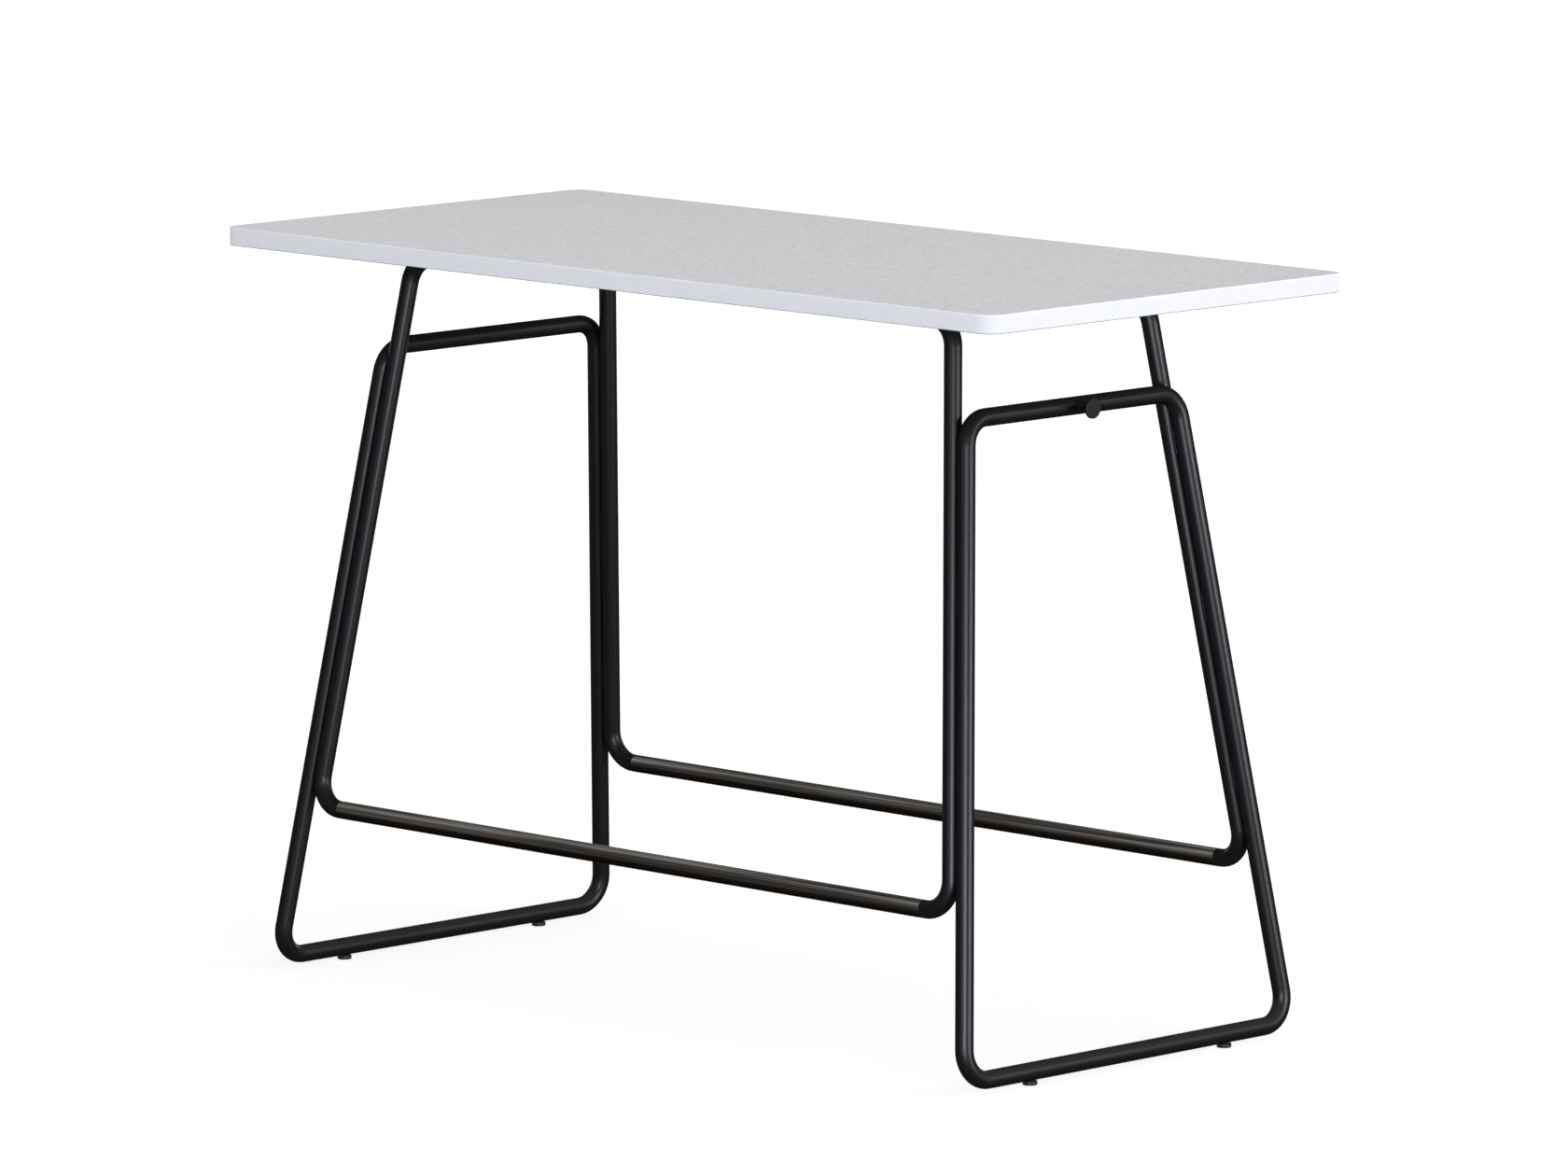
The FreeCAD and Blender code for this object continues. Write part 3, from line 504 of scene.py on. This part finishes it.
# Screws and washers: six socket button screws with plain washers hold the top to the tabs.
# Both are zinc plated; the screws' threads run up into the inserts.
dress(zinc, "tabletop_washers")
washer_radius = 0.0065
washer_low, washer_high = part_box("tabletop_washers")
screw_low, screw_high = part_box("tabletop_screws")
screw = {"radius": 0.003, "head": 0.0055, "round": 0.0012, "socket": 0.002, "socket_depth": 0.0021,
         "socket_flare": 1.28, "chamfer": 0.0004, "pitch": 0.001, "thread_depth": 0.0005,
         "sides": 36, "dome_steps": 5}
head_height = washer_low.z - screw_low.z
screw_length = screw_high.z - screw_low.z
socket = hexagon(screw["socket"])
dome = []
for step in range(screw["dome_steps"] + 1):
    turn = math.pi / 2 * step / screw["dome_steps"]
    dome.append((screw["head"] - screw["round"] * (1 - math.sin(turn)),
                 screw["round"] * (1 - math.cos(turn))))
screw_rings = turned_rings(
    [(socket, screw["socket_depth"]), (socket, screw["chamfer"] / 2),
     (screw["socket"] * screw["socket_flare"], 0)]
    + dome + [(screw["head"], head_height), (screw["radius"], head_height)]
    + thread(screw["radius"], screw["thread_depth"], screw["pitch"],
             head_height + screw["chamfer"], screw_length - screw["chamfer"])
    + [(screw["radius"] - screw["chamfer"] * 2, screw_length)], screw["sides"])
fixing_x = washer_high.x - washer_radius
fixing_y = washer_high.y - washer_radius
places = [(across, deep) for across in (-fixing_x, 0, fixing_x) for deep in (-fixing_y, fixing_y)]
driven = [moved(screw_rings, Matrix.Translation((across, deep, screw_low.z))) for across, deep in places]
screws = skin("button_screws", driven, zinc)
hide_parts("tabletop_screws")
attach(screws, "table")


# Bag hook: a peg turned from steel with a wide flat head, saddled to fit the end loop's
# top bar and coated with the frame. A stud inside it screws into a threaded insert in the tube.
dress(coat, "bag_hook")
dress(zinc, "bag_hook_insert", "bag_hook_stud")


# Glides: a moulded nylon pad on each foot, turning on a levelling stud, zinc plated, which is
# coloured near black as painted shade, for the shade under the pad. The stud's head is trapped in the pad,
# and its thread runs in an insert in the floor bar.
def black_nylon():
    finish = Finish(bpy.data.materials.new("black_nylon"))
    mould = finish.grain(1800, detail=2)
    clouds = finish.grain(120)
    colour = finish.blend(mould * 0.5 + clouds * 0.5, tone(13, 13, 14), tone(25, 25, 26))
    rough = finish.spread(mould, 0.3, 0.7, 0.36, 0.5)
    return finish.close(finish.surface(
        Base_Color=colour, Roughness=rough, Specular_IOR_Level=0.1, Normal=finish.relief(mould, 0.00004)))


# painted shade: the stud's zinc is given a dull, near-black colour, for the shade it sits in under the pad
def stud_painted_shade():
    finish = Finish(bpy.data.materials.new("stud_painted_shade"))
    bloom = finish.grain(900, detail=3)
    colour = finish.blend(bloom, tone(26, 27, 29), tone(44, 45, 48))
    rough = finish.spread(bloom, 0.3, 0.7, 0.4, 0.55)
    return finish.close(finish.surface(
        Base_Color=colour, Roughness=rough, Specular_IOR_Level=0.15, Normal=finish.relief(bloom, 0.00002)))


nylon = black_nylon()
stud_shade_finish = stud_painted_shade()
stud = {"radius": 0.004, "head": 0.0065, "head_height": 0.0024, "socket": 0.002, "socket_depth": 0.004,
        "socket_flare": 1.28, "chamfer": 0.0005, "pitch": 0.00125, "thread_depth": 0.0007, "sides": 36}
for corner in ("front_left", "front_right", "back_left", "back_right"):
    dress(nylon, "glide_pad_" + corner)
    dress(zinc, "glide_insert_" + corner)
    low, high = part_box("glide_stud_" + corner)
    length = high.z - low.z
    socket = hexagon(stud["socket"])
    stud_rings = turned_rings(
        [(socket, stud["socket_depth"]), (socket, stud["chamfer"] / 2),
         (stud["socket"] * stud["socket_flare"], 0),
         (stud["head"] - stud["chamfer"] / 2, 0), (stud["head"], stud["chamfer"] / 2),
         (stud["head"], stud["head_height"]), (stud["radius"], stud["head_height"])]
        + thread(stud["radius"], stud["thread_depth"], stud["pitch"],
                 stud["head_height"] + stud["chamfer"], length - stud["chamfer"])
        + [(stud["radius"] - stud["chamfer"] * 2, length)], stud["sides"])
    middle = (low + high) / 2
    levelling = skin("levelling_stud_" + corner,
                     [moved(stud_rings, Matrix.Translation((middle.x, middle.y, low.z)))], stud_shade_finish)
    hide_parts("glide_stud_" + corner)
    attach(levelling, "stud_" + corner)


# Studio: a pale floor under a white surround, which the camera and mirror-like surfaces
# see as white, while the table is lit by a dim sky and by the lamps below.
whiter_from = 1.0
white_from = 3.0


def seen(finish):
    """1 for rays from the camera and through gloss or glass, 0 for the rest."""
    path = [finish.node("ShaderNodeLightPath", output=name)
            for name in ("Is Camera Ray", "Is Glossy Ray", "Is Transmission Ray")]
    return path[0] + path[1] + path[2]


def pale_floor():
    finish = Finish(bpy.data.materials.new("pale_floor"))
    mask = seen(finish)
    dust = finish.grain(3)
    lit = finish.blend(dust, tone(184, 184, 184), tone(190, 190, 190))
    away = finish.node("ShaderNodeVectorMath", {"operation": "LENGTH"}, {0: finish.place()}, 1)
    whiter = finish.spread(away, whiter_from, white_from)
    white = finish.blend(whiter, (0.84, 0.84, 0.84, 1), (1, 1, 1, 1))
    return finish.close(finish.surface(
        Base_Color=finish.blend(mask, lit, tone(150, 150, 150)), Roughness=1.0, Specular_IOR_Level=0.0,
        Emission_Color=finish.blend(mask, (0, 0, 0, 1), white), Emission_Strength=1.0))


floor_reach = 60.0
floor_mesh = bpy.data.meshes.new("floor")
edge = [(-floor_reach, -floor_reach, 0), (floor_reach, -floor_reach, 0),
        (floor_reach, floor_reach, 0), (-floor_reach, floor_reach, 0)]
floor_mesh.from_pydata(edge, [], [(0, 1, 2, 3)])
floor_mesh.materials.append(pale_floor())
floor = bpy.data.objects.new("floor", floor_mesh)
bpy.context.scene.collection.objects.link(floor)

world = bpy.data.worlds.new("white_studio")
bpy.context.scene.world = world
surround = Finish(world)
sky = surround.blend(seen(surround), (0.16, 0.16, 0.16, 1), (1, 1, 1, 1))
surround.node("ShaderNodeOutputWorld",
              sockets={"Surface": surround.node("ShaderNodeBackground", sockets={"Color": sky})})


# Lamps: soft boxes set the level, four of them far off and one above. Low strips, which
# only gloss sees, draw the bright lines on the tubes. They are kept low, against glare on the top.
lamp_aim = Vector((0, 0, 0.6))


def lamp(name, azimuth, elevation, distance, width, height, watts, colour=(1, 1, 1), gloss_only=False):
    """A soft box that faces the middle of the table. Azimuth runs from +X towards +Y."""
    light = bpy.data.lights.new(name, "AREA")
    light.shape = "RECTANGLE"
    light.size, light.size_y, light.energy, light.color = width, height, watts, colour
    box = bpy.data.objects.new(name, light)
    turn, rise = math.radians(azimuth), math.radians(elevation)
    outward = Vector((math.cos(turn) * math.cos(rise), math.sin(turn) * math.cos(rise), math.sin(rise)))
    box.location = outward * distance + lamp_aim
    box.rotation_euler = outward.to_track_quat("Z", "Y").to_euler()
    box.visible_camera = False
    box.visible_diffuse = not gloss_only
    bpy.context.scene.collection.objects.link(box)


lamp("left_box", -78, 8, 14.0, 5.0, 4.0, 740, (0.95, 0.96, 1))
lamp("front_box", -28, 8, 14.0, 5.0, 4.0, 850, (0.95, 0.96, 1))
lamp("end_box", 41, 15, 14.0, 5.0, 3.4, 1050, (1, 0.985, 1))
lamp("back_fill", 150, 12, 14.0, 5.0, 4.0, 300)
lamp("top_box", -10, 84, 4.0, 2.4, 2.4, 48)
lamp("front_strip", -41, 1.9, 4.5, 1.1, 1.0, 640, (0.8, 0.88, 1), gloss_only=True)
lamp("end_strip", 16.3, 1.7, 6.0, 1.5, 1.25, 900, (0.93, 0.96, 1), gloss_only=True)
lamp("back_strip", 112, -1.0, 4.0, 0.9, 1.0, 260, (0.88, 0.93, 1), gloss_only=True)
lamp("side_strip", 170, -1.0, 4.0, 0.8, 1.0, 170, gloss_only=True)


# Camera: a long lens about 15 m away, a little above the top, that looks at the corner
# between the front and the end with the hook.
tilt_down = math.radians(8.271)
turn_from_front = math.radians(44.872)
camera_data = bpy.data.cameras.new("camera")
camera_data.sensor_width = 36.0
camera_data.lens = 250.83
camera_data.clip_end = 200.0
camera = bpy.data.objects.new("camera", camera_data)
camera.location = (10.5988, -10.6275, 2.7656)
camera.rotation_euler = (math.pi / 2 - tilt_down, 0, turn_from_front)
bpy.context.scene.collection.objects.link(camera)
bpy.context.scene.camera = camera
bpy.context.scene.view_settings.view_transform = "Standard"
